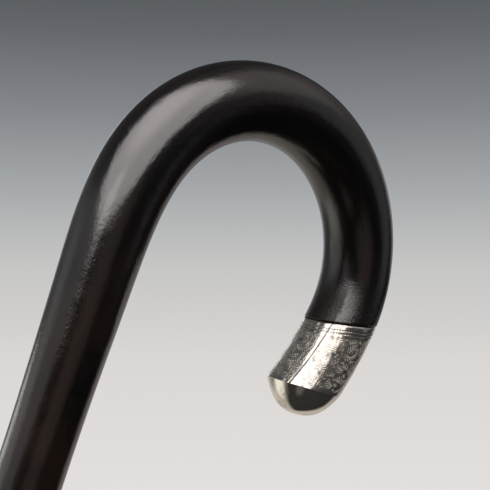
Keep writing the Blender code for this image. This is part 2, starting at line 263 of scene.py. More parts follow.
class Wire:
    """An output socket. Sums written with it add Math nodes, and node() adds any other node."""

    def __init__(self, tree, socket=None):
        self.tree = tree
        self.socket = socket

    def node(self, kind, settings=None, inputs=None, output=0):
        """Adds a node: its settings first, then the values or links of its sockets."""
        made = self.tree.nodes.new(kind)
        for name, value in (settings or {}).items():
            if name == "stops":
                ramp = made.color_ramp
                while len(ramp.elements) < len(value):
                    ramp.elements.new(0.5)
                for element, (place, colour) in zip(ramp.elements, value):
                    element.position = place
                    element.color = (*colour, 1)
            else:
                setattr(made, name, value)
        self.feed(made, inputs or {})
        return Wire(self.tree, made.outputs[output])

    def feed(self, node, inputs):
        for name, value in inputs.items():
            if isinstance(value, Wire):
                self.tree.links.new(value.socket, node.inputs[name])
            else:
                node.inputs[name].default_value = value

    def sum(self, operation, *values):
        return self.node("ShaderNodeMath", {"operation": operation}, dict(enumerate(values)))

    def __add__(self, other):
        return self.sum("ADD", self, other)

    def __radd__(self, other):
        return self.sum("ADD", other, self)

    def __sub__(self, other):
        return self.sum("SUBTRACT", self, other)

    def __rsub__(self, other):
        return self.sum("SUBTRACT", other, self)

    def __mul__(self, other):
        return self.sum("MULTIPLY", self, other)

    def __rmul__(self, other):
        return self.sum("MULTIPLY", other, self)

    def __truediv__(self, other):
        return self.sum("DIVIDE", self, other)

    def also(self, output):
        """Another output of the node that this one comes from."""
        return Wire(self.tree, self.socket.node.outputs[output])

    def axis(self, name):
        """X, Y or Z of this vector."""
        return self.node("ShaderNodeSeparateXYZ", None, {"Vector": self}, name)

    def rise(self, low, high):
        """0 below low and 1 above high, with a smooth rise between. High may be the lesser."""
        settings = {"interpolation_type": "SMOOTHSTEP"}
        inputs = {"Value": self, "From Min": low, "From Max": high}
        return self.node("ShaderNodeMapRange", settings, inputs)

    def pick(self, low, high):
        """A colour between two, by this number from 0 to 1."""
        low, high = (end if isinstance(end, Wire) else (*end, 1) for end in (low, high))
        # The colour sockets share their names with others of this node, so they go by number
        return self.node("ShaderNodeMix", {"data_type": "RGBA"}, {0: self, 6: low, 7: high}, 2)


def new_finish(name, shared):
    """A material and its shader, with the values that are the same all over set on it."""
    material = bpy.data.materials.new(name)
    material.use_nodes = True
    shader = material.node_tree.nodes["Principled BSDF"]
    wire = Wire(material.node_tree)
    wire.feed(shader, shared)
    return material, shader, wire


def stored(wire, name, output="Fac"):
    """What keep_values stored under this name: a number or, from the output Vector, a vector."""
    return wire.node("ShaderNodeAttribute", {"attribute_name": name}, output=output)


def noise(wire, place, scale, stretch=(1, 1, 1), detail=3.0, roughness=0.5):
    """Noise of about scale metres, drawn out along an axis by stretch."""
    scales = tuple(1 / (scale * part) for part in stretch)
    settings = {"operation": "MULTIPLY"}
    drawn = wire.node("ShaderNodeVectorMath", settings, {0: place, 1: scales})
    inputs = {"Vector": drawn, "Scale": 1.0, "Detail": detail, "Roughness": roughness}
    return wire.node("ShaderNodeTexNoise", {"noise_dimensions": "3D"}, inputs)


def raised(wire, heights):
    """One normal from (height, depth in metres) pairs, laid one over another."""
    normal = None
    for height, depth in heights:
        inputs = {"Height": height, "Distance": depth, "Strength": 1.0}
        if normal:
            inputs["Normal"] = normal
        normal = wire.node("ShaderNodeBump", None, inputs)
    return normal


LACQUER_BLACK = (0.002, 0.0016, 0.0016)
STAIN_BROWN = (0.014, 0.0075, 0.005)
DUST_GREY = (0.42, 0.41, 0.39)

# How far up the stick from the start of the bend: where each begins, and where it is full
DULL_BY_CAP = (173 * MM, 187 * MM)
BROWN_DOWN_SHANK = (30 * MM, -40 * MM)
# As shares of the wood's radius at the nose, towards the inner side of the crook
RUBBED_THROUGH = (0.715, 0.785)
DULLED_INSIDE = (0.62, 0.95)
SPECK_SCALE = 160.0

ebony, shader, wire = new_finish("ebonised_lacquer", {"Specular IOR Level": 1.0, "IOR": 1.65})
place = stored(wire, "straight", "Vector")
grain = noise(wire, place, 0.55 * MM, (1, 1, 22), 4.0, 0.65)
figure = noise(wire, place, 6 * MM, (1, 1, 9), 3.0)
handling = noise(wire, place, 18 * MM, (1, 1, 1.5), 4.0, 0.6)
pebble = noise(wire, place, 0.6 * MM, (1, 1, 1.4), 2.0, 0.6)
peel = noise(wire, place, 2.3 * MM, (1, 1, 1.8), 3.0, 0.6)
along = place.axis("Z")
inner = place.axis("X") / rim_radius
by_cap = along.rise(*DULL_BY_CAP)
worn = 0.8 * handling.rise(0.46, 0.62) + 2.2 * by_cap

# The stain is browner in the figure of the wood, and where the shank has been handled
handled = along.rise(*BROWN_DOWN_SHANK) * handling.rise(0.35, 0.6)
brown = figure.rise(0.42, 0.75) * grain.rise(0.35, 0.7) + handled
colour = wire.sum("MINIMUM", brown, 1.0).pick(LACQUER_BLACK, STAIN_BROWN)

# A few specks of dust lie on what faces up
specks = wire.node("ShaderNodeTexVoronoi", None, {"Vector": place, "Scale": SPECK_SCALE})
chosen = wire.node("ShaderNodeSeparateColor", None, {"Color": specks.also("Color")}).rise(0.9, 0.91)
facing = wire.node("ShaderNodeNewGeometry", output="Normal")
dust = specks.rise(0.035, 0.02) * chosen * facing.axis("Z").rise(0.35, 0.8)

# The film is pebbled by wear, most of all by the cap, and elsewhere has a faint orange peel
pebbled = pebble * (0.5 + worn + 1.2 * by_cap)
peeled = peel * (1 - 0.6 * by_cap)
normal = raised(wire, ((grain, 0.03 * MM), (pebbled, 0.04 * MM), (peeled, 0.08 * MM)))
wire.feed(
    shader,
    {
        "Base Color": dust.pick(colour, DUST_GREY),
        "Roughness": 0.115 + 0.02 * worn + 0.06 * grain + 0.3 * dust,
        "Normal": normal,
    },
)

# On the inner side, where the crook hangs, the film is dull, and by the cap it is rubbed through
bare = wire.node(
    "ShaderNodeBsdfPrincipled",
    None,
    {
        "Base Color": grain.rise(0.35, 0.7).pick(LACQUER_BLACK, STAIN_BROWN),
        "Roughness": 0.4,
        "Specular IOR Level": 0.35,
        "Normal": normal,
    },
)
ragged = inner + 0.2 * (grain - 0.5) + 0.2 * (peel - 0.5)
rubbed = ragged.rise(*RUBBED_THROUGH) * by_cap
dulled = 0.4 * inner.rise(*DULLED_INSIDE)
thin = dulled + rubbed * (0.9 - dulled)
layers = {0: thin, 1: Wire(wire.tree, shader.outputs["BSDF"]), 2: bare}
surface = wire.node("ShaderNodeMixShader", None, layers)
wire.feed(wire.tree.nodes["Material Output"], {"Surface": surface})
stick.data.materials.append(ebony)
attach(stick, "root")
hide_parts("stick")


# The silver cap's sleeve
# A tube of thin sheet silver with a soldered seam, a little askew, bent on with the crook. Its
# slanted rim has two milled border lines, and a hand graver has cut foliate scrolls below them.

CAP_RADIUS = 12.2 * MM
SILVER_WALL = 0.5 * MM
CREASE_SLANT = math.radians(25)
RIM_ROUNDING = 0.18 * MM
BORDERS = (2.0 * MM, 3.2 * MM)
BORDER_WIDTH = 0.6 * MM
BORDER_DEPTH = 0.12 * MM
MILLED_PITCH = 0.9 * MM
DENTS = 0.028 * MM
SEAM_WIDTH = 1.1 * MM
SEAM_DEPTH = 0.08 * MM
# Angles round the tube are taken from the inner side of the crook
SEAM_AT_RIM = math.radians(323.15)
SEAM_AT_CREASE = math.radians(331.75)
FLANK = math.radians(48)
RUBBED_FULL = math.radians(15)
RUBBED_ENDS = math.radians(36)
RUBBED_AWAY = 0.55
RUBBED_CLEAN = 0.35
SLEEVE_AROUND = 540
SLEEVE_ROWS = 172
BORE_ROWS = 6

# The graver's cuts are drawn on the sleeve laid flat, in millimetres: first round it, then down it
FLAT_CELL = 0.07
FLAT_WIDE = math.tau * CAP_RADIUS / MM
FLAT_HIGH = CAP_LENGTH / MM
FIELD_TOP = 4.4
FIELD_BOTTOM = 1.0
FIELD_EDGE = 0.3
CUT_SLOPE = 0.52
DARK_CUT = 0.12
CLEAR_OF_CUTS = 0.1
HATCH_CLEAR_CELLS = 3
SCROLLS = 10
SCROLL_ROWS = (9.6, 19.6)
SCROLL_RADII = (2.5, 3.2)
SCROLL_TURNS = 1.05
SCROLL_STEPS = 70
STEM_WIDTH = 0.52
OUTER_BARBS = 2.3
INNER_BARBS = 0.9
BUD_RADIUS = 0.38
BUD_WIDTH = 0.3
LINK_DROP = 6.5
LINK_BOW = (0.9, 0.8)
LINK_STEPS = 30
LINK_BARBS = 1.5
BARB_WIDTH = 0.48
BARB_SPACING = 0.72
BARB_STEPS = 7
STEPS_PER_BARB = 8
VEIN_WIDTH = 0.5
LEAF_STEPS = 20
LEAF_SIZES = (4.6, 1.2)
LEAF_CURL = 1.2
LEAF_TRIES = 3500

cells_wide = round(FLAT_WIDE / FLAT_CELL)
cells_high = round(FLAT_HIGH / FLAT_CELL)
cuts = np.zeros((cells_high, cells_wide))
taken = np.zeros((cells_high, cells_wide), bool)
random = np.random.default_rng(11)


def along_path(points, spacing):
    """Even steps along a path, and the share of its length at each."""
    points = np.asarray(points, float)
    lengths = np.concatenate([[0], np.cumsum(np.hypot(*np.diff(points, axis=0).T))])
    at = np.linspace(0, lengths[-1], max(int(lengths[-1] / spacing), 3))
    steps = np.stack([np.interp(at, lengths, points[:, axis]) for axis in (0, 1)], 1)
    return steps, at / lengths[-1]


def engrave(points, width, widest=0.5):
    """Pushes the graver along a path. The cut swells to its widest share and ends fine."""
    for (across, down), share in zip(*along_path(points, FLAT_CELL)):
        pressed = share / widest if share < widest else (1 - share) / (1 - widest)
        half = width / 2 * (0.2 + 0.8 * pressed**0.6)
        reach = int(half / FLAT_CELL) + 2
        column, row = int(across / FLAT_CELL), int(down / FLAT_CELL)
        rows = np.arange(max(row - reach, 0), min(row + reach + 1, cells_high))
        columns = np.arange(column - reach, column + reach + 1)
        far = np.hypot(
            (columns + 0.5) * FLAT_CELL - across, ((rows + 0.5) * FLAT_CELL - down)[:, None]
        )
        window = np.ix_(rows, columns % cells_wide)
        cuts[window] = np.maximum(cuts[window], (half - far) * CUT_SLOPE)
        taken[window] |= far < half + CLEAR_OF_CUTS


def is_free(points):
    """Whether a cut along these points stays in the field and clear of every other cut."""
    columns = (points[:, 0] / FLAT_CELL).astype(int) % cells_wide
    rows = (points[:, 1] / FLAT_CELL).astype(int)
    inside = (rows >= FIELD_TOP / FLAT_CELL) & (rows < cells_high - FIELD_BOTTOM / FLAT_CELL)
    return inside.all() and not taken[np.clip(rows, 0, cells_high - 1), columns].any()


def barb(spot, turn, side, length):
    """The path of one short cut that springs off a stem and bends forward."""
    reach = np.linspace(0.15, 1, BARB_STEPS)
    bend = turn + side * (1.4 - 0.75 * reach)
    step = length / BARB_STEPS
    return spot + np.cumsum(np.stack([np.cos(bend), np.sin(bend)], 1) * step, 0)


def comb(path, side, length):
    """Cuts off one side of a path, one behind the other, that shorten towards its end."""
    spots, shares = along_path(path, BARB_SPACING / STEPS_PER_BARB)
    for number in range(STEPS_PER_BARB, len(spots) - 4, STEPS_PER_BARB):
        ahead = spots[number + 3] - spots[number]
        long = length * (1 - 0.6 * shares[number]) * random.uniform(0.75, 1.25)
        cut = barb(spots[number], math.atan2(ahead[1], ahead[0]), side, long)
        engrave(cut, BARB_WIDTH * random.uniform(0.85, 1.15), 0.3)


def scroll(middle, radius, side, start):
    """An acanthus scroll: a stem that winds in to a bud, combed outside and more finely inside."""
    turn = np.linspace(0, 1, SCROLL_STEPS)
    swing = start + side * turn * SCROLL_TURNS * math.tau
    wind = (radius * (1 - turn) ** 0.8 + 0.35)[:, None]
    stem = middle + wind * np.stack([np.cos(swing), np.sin(swing) * 0.9], 1)
    engrave(stem, STEM_WIDTH, 0.35)
    comb(stem[:44], -side, OUTER_BARBS)
    comb(stem[4:50], side, INNER_BARBS)
    bud = np.linspace(0, math.tau, 12)
    engrave(middle + BUD_RADIUS * np.stack([np.cos(bud), np.sin(bud)], 1), BUD_WIDTH)


def leaf(root, lean, length, curl):
    """A loose leaf, cut only where nothing is cut yet: a curling vein combed on both sides."""
    share = np.linspace(0, 1, LEAF_STEPS)
    turns = lean + curl * share**1.5
    step = length / LEAF_STEPS
    vein = root + np.cumsum(np.stack([np.cos(turns), np.sin(turns)], 1) * step, 0)
    outer = -math.copysign(1, curl)
    strokes = []
    for at in np.arange(0.35, length - 0.2, BARB_SPACING):
        turn = np.interp(at / length, share, turns)
        spot = np.array([np.interp(at / length, share, vein[:, axis]) for axis in (0, 1)])
        full = math.sin(math.pi * min(0.25 + 0.75 * at / length, 1)) * length
        strokes += [barb(spot, turn, outer, 0.5 * full), barb(spot, turn, -outer, 0.2 * full)]
    if is_free(np.concatenate([vein[2:]] + strokes[::2])):
        engrave(vein, VEIN_WIDTH, 0.3)
        for stroke in strokes:
            engrave(stroke, BARB_WIDTH * random.uniform(0.85, 1.15), 0.3)


# Scrolls in two rows, turn and turn about, each with a stem that links it to the next
pitch = FLAT_WIDE / SCROLLS
for number in range(SCROLLS):
    upper = number % 2
    side = 1 if upper else -1
    spot = np.array([pitch * (number + 0.5), SCROLL_ROWS[1 - upper]])
    spot += random.uniform(-0.5, 0.5, 2)
    scroll(spot, random.uniform(*SCROLL_RADII), side, side * random.uniform(-0.6, 0.4))
    part = np.linspace(0, 1, LINK_STEPS)[:, None]
    across_rows = spot + part * (pitch * 0.9, -side * LINK_DROP)
    stem = across_rows + np.sin(part * math.pi) * (LINK_BOW[0] * side, LINK_BOW[1])
    engrave(stem[10:], STEM_WIDTH)
    comb(stem[12:], side, LINK_BARBS)

# Leaves of every size fill what is left, the big ones first
for size in np.linspace(*LEAF_SIZES, LEAF_TRIES):
    root = np.array([random.uniform(0, FLAT_WIDE), random.uniform(FIELD_TOP, FLAT_HIGH)])
    leaf(root, random.uniform(0, math.tau), size, random.choice((-LEAF_CURL, LEAF_CURL)))

# The ground between the cuts, which the graver hatches finely
near_cut = cuts > 0
for step in range(HATCH_CLEAR_CELLS):
    wider = near_cut | np.roll(near_cut, 1, 1) | np.roll(near_cut, -1, 1)
    wider[1:] |= near_cut[:-1]
    wider[:-1] |= near_cut[1:]
    near_cut = wider
ground = 1.0 - near_cut


def read_flat(field, across, down):
    """Reads a drawing at flat places between its cells."""
    columns = across / FLAT_CELL - 0.5
    rows = np.clip(down / FLAT_CELL - 0.5, 0, cells_high - 1.001)
    left, top = np.floor(columns).astype(int), np.floor(rows).astype(int)
    wide, high = columns - left, rows - top
    right, left = (left + 1) % cells_wide, left % cells_wide
    upper = field[top, left] * (1 - wide) + field[top, right] * wide
    lower = field[top + 1, left] * (1 - wide) + field[top + 1, right] * wide
    return upper * (1 - high) + lower * high


# Each point of the sleeve, and where it lies on the flat drawing
sleeve_angles = np.arange(SLEEVE_AROUND) * math.tau / SLEEVE_AROUND
crease_at = BEND_LENGTH + CAP_LENGTH
rim_line = cut_along(BEND_LENGTH, RIM_SLANT, 0, sleeve_angles, CAP_RADIUS)
crease_line = cut_along(crease_at, CREASE_SLANT, 0, sleeve_angles, CAP_RADIUS)
share = (np.arange(SLEEVE_ROWS) / (SLEEVE_ROWS - 1))[:, None]
sleeve_along = rim_line + (crease_line - rim_line) * share
angles = np.broadcast_to(sleeve_angles, sleeve_along.shape)
from_rim = (sleeve_along - rim_line) * math.cos(RIM_SLANT)
from_crease = crease_line - sleeve_along
across = angles * CAP_RADIUS / MM
down = share * FLAT_HIGH + 0 * across

# The cuts are full in the field, and half rubbed away on the flank that hands polish
below_borders = ease((from_rim / MM - FIELD_TOP) / FIELD_EDGE)
above_crease = ease((from_crease / MM - FIELD_BOTTOM) / FIELD_EDGE)
field = below_borders * above_crease
off_flank = np.cos(np.minimum(angles, math.tau - angles) - FLANK)
rubbed = ease((off_flank - math.cos(RUBBED_ENDS)) / (math.cos(RUBBED_FULL) - math.cos(RUBBED_ENDS)))
drawn_depth = read_flat(cuts, across, down) * field
cut_depth = drawn_depth * (1 - RUBBED_AWAY * rubbed)

# The borders' milled beads, the seam, the dents of use and the rounded rim
milling = np.zeros_like(across)
for number, border in enumerate(BORDERS):
    groove = np.clip(1 - np.abs(from_rim - border) / (BORDER_WIDTH / 2), 0, 1)
    beads = np.sin(math.pi * across * MM / MILLED_PITCH + number) ** 2
    milling = np.maximum(milling, groove * beads)
past_seam = (angles - SEAM_AT_RIM - (SEAM_AT_CREASE - SEAM_AT_RIM) * share) * CAP_RADIUS
seam = np.clip(1 - np.abs(past_seam) / (SEAM_WIDTH / 2), 0, 1)
dents = np.sin(across / 1.9 + 1.4 * np.sin(down / 3.1)) * np.sin(down / 2.3 + across / 6.1)
dents += 0.8 * np.sin(across / 4.1 - down / 5.3) + 0.5 * np.sin(down / 1.3 + 2 * np.sin(across / 3))
wear = DENTS * dents * ease(from_crease / (2 * MM)) * ease(from_rim / (1 * MM))
rounding = RIM_ROUNDING * (1 - ease(from_rim / RIM_ROUNDING / 2))
sunk = cut_depth * MM + BORDER_DEPTH * milling + SEAM_DEPTH * seam + rounding
skin = CAP_RADIUS - sunk + wear

# The skin goes round the crease's edge into a plain bore, and comes back up to the rim
bore_share = np.linspace(1, 0, BORE_ROWS)[:, None]
bore_along = rim_line + (crease_line - rim_line) * bore_share
bore = np.full(bore_along.shape, CAP_RADIUS - SILVER_WALL)
all_along = np.concatenate([sleeve_along, bore_along])
all_radii = np.concatenate([skin, bore])
all_angles = np.broadcast_to(sleeve_angles, all_along.shape)
sleeve = grid_mesh("cap_sleeve_silver", tube_points(all_along, all_angles, all_radii), closed=True)

# What the material reads: the place on the flat drawing, and three marks that the bore has none of
flat = np.stack([angles * CAP_RADIUS, down * MM, 0 * down], -1)
none = np.zeros(bore_along.shape)
keep_values(sleeve, "flat", np.concatenate([flat, np.stack([none, none, none], -1)]))
# Tarnish in the seam's groove, and on one side of it a line of painted shade; both are stored with
# the milling
seam_tarnish_and_shade = np.clip(1.3 - np.abs(past_seam / SEAM_WIDTH + 0.15) / 0.3, 0, 1)
marks = {
    "cut": np.clip(drawn_depth / DARK_CUT, 0, 1) * (1 - RUBBED_CLEAN * rubbed),
    "milled": np.clip(1.4 * milling + seam_tarnish_and_shade, 0, 1),
    "ground": read_flat(ground, across, down) * field,
}
for name, mark in marks.items():
    keep_values(sleeve, name, np.concatenate([mark, none]))

SILVER = (0.9, 0.875, 0.82)
SILVER_WARM = (0.86, 0.8, 0.69)
TARNISH = (0.2, 0.165, 0.115)
TARNISH_BLUE = (0.1, 0.12, 0.17)
# The grey of the painted shade beside the seam, and of the haze on the flank that shines
SHADE_AND_HAZE_GREY = (0.2, 0.2, 0.18)
POLISH_CREAM = (0.8, 0.72, 0.58)
HATCH_PITCH = 0.42 * MM
# Shares of the way round the sleeve: where each state of the silver begins and where it is full
# The next two are where the painted shade beside the seam begins and where it ends
PAINTED_SHADE_FROM = (0.912, 0.925)
PAINTED_SHADE_TO = (0.985, 0.95)
LIT_FLANK_FROM = (0.79, 0.83)
LIT_FLANK_TO = (0.914, 0.906)
INNER_SIDE = ((0.74, 0.86), (0.26, 0.14))


def silver_finish(name, engraved):
    """Polished silver that has been handled: hairline scratches and tarnish, and on the engraved
    sleeve painted shade.
    """
    material, shader, wire = new_finish(name, {"IOR": 1.5})
    solid = wire.node("ShaderNodeTexCoord", output="Object")
    cloud = noise(wire, solid, 4.5 * MM, detail=4.0, roughness=0.6)
    stain = noise(wire, solid, 1.6 * MM, detail=3.0)
    scuffs = noise(wire, solid, 0.3 * MM, (1, 6, 1), 2.0)
    hairs = noise(wire, solid, 0.16 * MM, (9, 1, 2), 2.0)
    tone = cloud.rise(0.3, 0.75).pick(SILVER, SILVER_WARM)
    film = cloud.rise(0.48, 0.7) * stain.rise(0.4, 0.6)
    film_and_shade_colour = stain.rise(0.45, 0.62).pick(TARNISH, TARNISH_BLUE)
    heights = [(scuffs, 0.005 * MM), (hairs, 0.004 * MM)]
    if engraved:
        cut = stored(wire, "cut")
        flat = stored(wire, "flat", "Vector")
        hatch = wire.sum("SINE", (flat.axis("X") + flat.axis("Y")) * (math.tau / HATCH_PITCH))
        lines = hatch.rise(0.0, 0.9) * stored(wire, "ground")
        # Tarnish in the cuts, the milling and the hatching, and the seam's line of painted shade
        worked_and_seam_shade = 0.6 * cut + 0.9 * stored(wire, "milled") + 0.25 * lines
        heights.append((1 - lines, 0.03 * MM))

        # Painted shade in a grey strip beside the seam, and a thin haze on the flank that shines
        turn = flat.axis("X") / (math.tau * CAP_RADIUS)
        painted_shade = turn.rise(*PAINTED_SHADE_FROM) * turn.rise(*PAINTED_SHADE_TO)
        lit_flank = turn.rise(*LIT_FLANK_FROM) * turn.rise(*LIT_FLANK_TO)
        haze = 0.12 + 0.24 * stain.rise(0.42, 0.65)
        painted_shade_and_haze = painted_shade * (0.5 + 0.5 * stain) + lit_flank * haze
        dark = wire.sum("MINIMUM", worked_and_seam_shade + 0.6 * film + painted_shade_and_haze, 1.0)
        film_and_shade_colour = wire.sum("MINIMUM", painted_shade_and_haze * 1.3, 1.0).pick(film_and_shade_colour, SHADE_AND_HAZE_GREY)

        # Dried polish lies in the cuts, less on the inner side, which is handled most
        inner_side = turn.rise(*INNER_SIDE[0]) + turn.rise(*INNER_SIDE[1])
        chalk = cut * stain.rise(0.28, 0.45) * (0.95 - 0.5 * inner_side)
    else:
        dark = 0.45 * film
        chalk = 0.04 * film
    wire.feed(
        shader,
        {
            "Base Color": chalk.pick(dark.pick(tone, film_and_shade_colour), POLISH_CREAM),
            "Metallic": 0.96 - 0.8 * chalk,
            "Roughness": 0.06 + 0.09 * cloud + 0.12 * dark + 0.3 * chalk,
            "Normal": raised(wire, heights),
        },
    )
    return material


sleeve.data.materials.append(silver_finish("engraved_silver", engraved=True))
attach(sleeve, "root")
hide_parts("cap_sleeve")


# The silver cap's dome
# The plain polished end, stamped in a die, with a skirt that is turned up inside the sleeve and
# soldered. Years of knocks have left it with shallow dents.

DOME_HEIGHT = 9.7 * MM
DOME_FULLNESS = 2.65
DOME_ROWS = 60
DOME_INNER_ROWS = 12
DOME_AROUND = 256
DOME_DENTS = 0.06 * MM
DOME_DENT_SPANS = (2.4 * MM, 1.9 * MM, 4.1 * MM)
SKIRT_LENGTH = 2.5 * MM
SKIRT_RADIUS = 11.4 * MM
SOLDER_LINE = 0.05 * MM

dome_angles = np.arange(DOME_AROUND) * math.tau / DOME_AROUND


def dome_rings(radius, height, rows, dented):
    """Rings of the dome from its pole, which is a very small ring, to its edge on the crease."""
    share = np.sin(np.linspace(0.001, math.pi / 2, rows))[:, None]
    rise = height * (1 - share**DOME_FULLNESS) + 0 * dome_angles
    u, v = radius * share * np.cos(dome_angles), radius * share * np.sin(dome_angles)
    if dented:
        middle, short, long = DOME_DENT_SPANS
        dent = np.sin(u / middle + 1) * np.sin(v / short + 2) + np.sin((u + v) / long)
        rise = rise + DOME_DENTS * dent * (1 - share**8)
    at = np.float64(crease_at)
    leaning = math.cos(CREASE_SLANT) * onward(at) - math.sin(CREASE_SLANT) * inward(at)
    on_cut = u[..., None] * (inward(at) + math.tan(CREASE_SLANT) * onward(at))
    side = v[..., None] * np.array([0.0, 1.0, 0.0])
    return centre(at) + on_cut + side + rise[..., None] * leaning


outer = dome_rings(CAP_RADIUS - SOLDER_LINE, DOME_HEIGHT, DOME_ROWS, True)
inner_height = DOME_HEIGHT - SILVER_WALL
inner = dome_rings(SKIRT_RADIUS - SILVER_WALL, inner_height, DOME_INNER_ROWS, False)[::-1]
skirt = []
for radius, back in ((SKIRT_RADIUS, 0), (SKIRT_RADIUS, 1), (SKIRT_RADIUS - SILVER_WALL, 1)):
    along = cut_along(crease_at, CREASE_SLANT, -back * SKIRT_LENGTH, dome_angles, radius)
    skirt.append(tube_points(along, dome_angles, radius + 0 * along))
dome = grid_mesh("cap_dome_silver", np.concatenate([outer, skirt, inner]))
dome.data.materials.append(silver_finish("plain_silver", engraved=False))
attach(dome, "root")
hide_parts("cap_dome")


# The cement that beds the cap
# Shellac and pitch, run in hot between the tenon and the silver. Only a hair of it shows, in the
# seam at the rim.

PITCH_DARK = (0.05, 0.02, 0.01)
PITCH_RED = (0.2, 0.075, 0.03)

pitch, shader, wire = new_finish("shellac_and_pitch", {"Metallic": 0.0})
solid = wire.node("ShaderNodeTexCoord", output="Object")
lumps = noise(wire, solid, 0.9 * MM, detail=3.0)
wire.feed(
    shader,
    {
        "Base Color": lumps.rise(0.3, 0.7).pick(PITCH_DARK, PITCH_RED),
        "Roughness": 0.45 + 0.3 * lumps,
        "Normal": raised(wire, ((lumps, 0.05 * MM),)),
    },
)
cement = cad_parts["cap_cement"]
cement.data.materials.clear()
cement.data.materials.append(pitch)


# The pin through the cap
# A round-headed silver pin, driven through sleeve and cement into the tenon on the crook's outer
# side. Its head is burnished down on the sleeve.

CAP_PIN_FROM_RIM = 8 * MM
CAP_PIN_DIAMETER = 1.2 * MM
CAP_PIN_HEAD_DIAMETER = 2.6 * MM
CAP_PIN_HEAD_HEIGHT = 0.7 * MM
CAP_PIN_IN_WOOD = 4 * MM
PIN_AROUND = 48
PIN_HEAD_STEPS = 8
PIN_HEAD_ARC = (0.1, math.pi / 2 - 0.02)
NEAR_AXIS = 0.02 * MM


def turned(name, profile, around, closed=False):
    """A piece turned round Z from (radius, height) pairs. A closed profile makes a tube, and an
    open one has both ends very near the axis."""
    profile = np.asarray(profile, float)
    angles = np.arange(around) * math.tau / around
    rings = np.stack(
        [
            profile[:, :1] * np.cos(angles),
            profile[:, :1] * np.sin(angles),
            profile[:, 1:] + 0 * angles,
        ],
        -1,
    )
    return grid_mesh(name, rings, closed)


def pin_profile(point, seat, diameter, head_diameter, head_height):
    """From the pin's point, up its shank, to the top of its round head."""
    profile = [(NEAR_AXIS, point), (diameter / 4, point), (diameter / 2, point + diameter / 4)]
    profile += [(diameter / 2, seat), (head_diameter / 2, seat)]
    for angle in np.linspace(*PIN_HEAD_ARC, PIN_HEAD_STEPS):
        profile.append((head_diameter / 2 * math.cos(angle), seat + head_height * math.sin(angle)))
    return profile


pin_along = np.float64(BEND_LENGTH + CAP_PIN_FROM_RIM)
sizes = (CAP_PIN_DIAMETER, CAP_PIN_HEAD_DIAMETER, CAP_PIN_HEAD_HEIGHT)
point = NOSE_TENON_RADIUS - CAP_PIN_IN_WOOD
cap_pin = turned("cap_pin_silver", pin_profile(point, CAP_RADIUS, *sizes), PIN_AROUND)
cap_pin.location = Vector(centre(pin_along))
cap_pin.rotation_euler = (0, float(heading(pin_along)) - math.pi / 2, 0)
cap_pin.data.materials.append(silver_finish("pin_silver", engraved=False))
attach(cap_pin, "root")
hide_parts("cap_pin")


# The ferrule's brass tube
# Drawn and tapered on a mandrel, lightly turned and driven on the foot. Walking has scratched it
# lengthwise and dulled it near the tip.

FERRULE_TOP = 40 * MM
FERRULE_END_DIAMETER = 13.8 * MM
FERRULE_WALL = 0.8 * MM
FERRULE_CHAMFER = (0.2 * MM, 0.4 * MM)
TIP_THICKNESS = 4 * MM
BRAZED_GAP = 0.05 * MM
TURNED_LINES = (36 * MM, 37.2 * MM, 7 * MM)
TURNED_LINE_DEPTH = 0.15 * MM
TURNED_LINE_WIDTH = 0.6 * MM
FERRULE_AROUND = 160

BRASS = (0.74, 0.53, 0.25)
BRASS_DULL = (0.34, 0.22, 0.09)
LOW_WEAR = (16 * MM, 4 * MM)


def ferrule_radius(height):
    """The tube's even taper, from the wood's width at its top to the steel tip's."""
    share = (height - TIP_THICKNESS) / (FERRULE_TOP - TIP_THICKNESS)
    return (FERRULE_END_DIAMETER + (FOOT_DIAMETER - FERRULE_END_DIAMETER) * share) / 2


heights = [TIP_THICKNESS + BRAZED_GAP]
for height in sorted(TURNED_LINES):
    heights += [height - TURNED_LINE_WIDTH / 2, height, height + TURNED_LINE_WIDTH / 2]
heights += [FERRULE_TOP - FERRULE_CHAMFER[1]]
profile = [(ferrule_radius(heights[0]) - FERRULE_WALL, heights[0])]
for height in heights:
    sunk = TURNED_LINE_DEPTH if height in TURNED_LINES else 0
    profile.append((ferrule_radius(height) - sunk, height))
profile.append((ferrule_radius(FERRULE_TOP) - FERRULE_CHAMFER[0], FERRULE_TOP))
profile.append((ferrule_radius(FERRULE_TOP) - FERRULE_WALL, FERRULE_TOP))
ferrule = turned("ferrule_brass", profile, FERRULE_AROUND, closed=True)

brass, shader, wire = new_finish("worn_brass", {"Metallic": 1.0})
solid = wire.node("ShaderNodeTexCoord", output="Object")
cloud = noise(wire, solid, 6 * MM, detail=4.0, roughness=0.6)
lathe = noise(wire, solid, 0.25 * MM, (40, 40, 1), 2.0)
scrapes = noise(wire, solid, 0.4 * MM, (1, 1, 30), 2.0)
low_wear = solid.axis("Z").rise(*LOW_WEAR)
dull = (cloud.rise(0.4, 0.7) * 0.6 + 0.35 * low_wear + 0.3 * scrapes.rise(0.62, 0.7)) * 0.9
wire.feed(
    shader,
    {
        "Base Color": dull.pick(BRASS, BRASS_DULL),
        "Roughness": 0.22 + 0.25 * dull + 0.1 * lathe,
        "Normal": raised(wire, ((lathe, 0.01 * MM), (scrapes, 0.02 * MM))),
    },
)
ferrule.data.materials.append(brass)
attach(ferrule, "root")
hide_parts("ferrule_sleeve")


# The ferrule's pins
# Two round-headed brass pins, one each side of the shank, driven through the tube into the wood.

FERRULE_PIN_HEIGHT = 30 * MM
FERRULE_PIN_DIAMETER = 1.6 * MM
FERRULE_PIN_HEAD_DIAMETER = 3 * MM
FERRULE_PIN_HEAD_HEIGHT = 0.7 * MM
FERRULE_PIN_IN_WOOD = 4 * MM

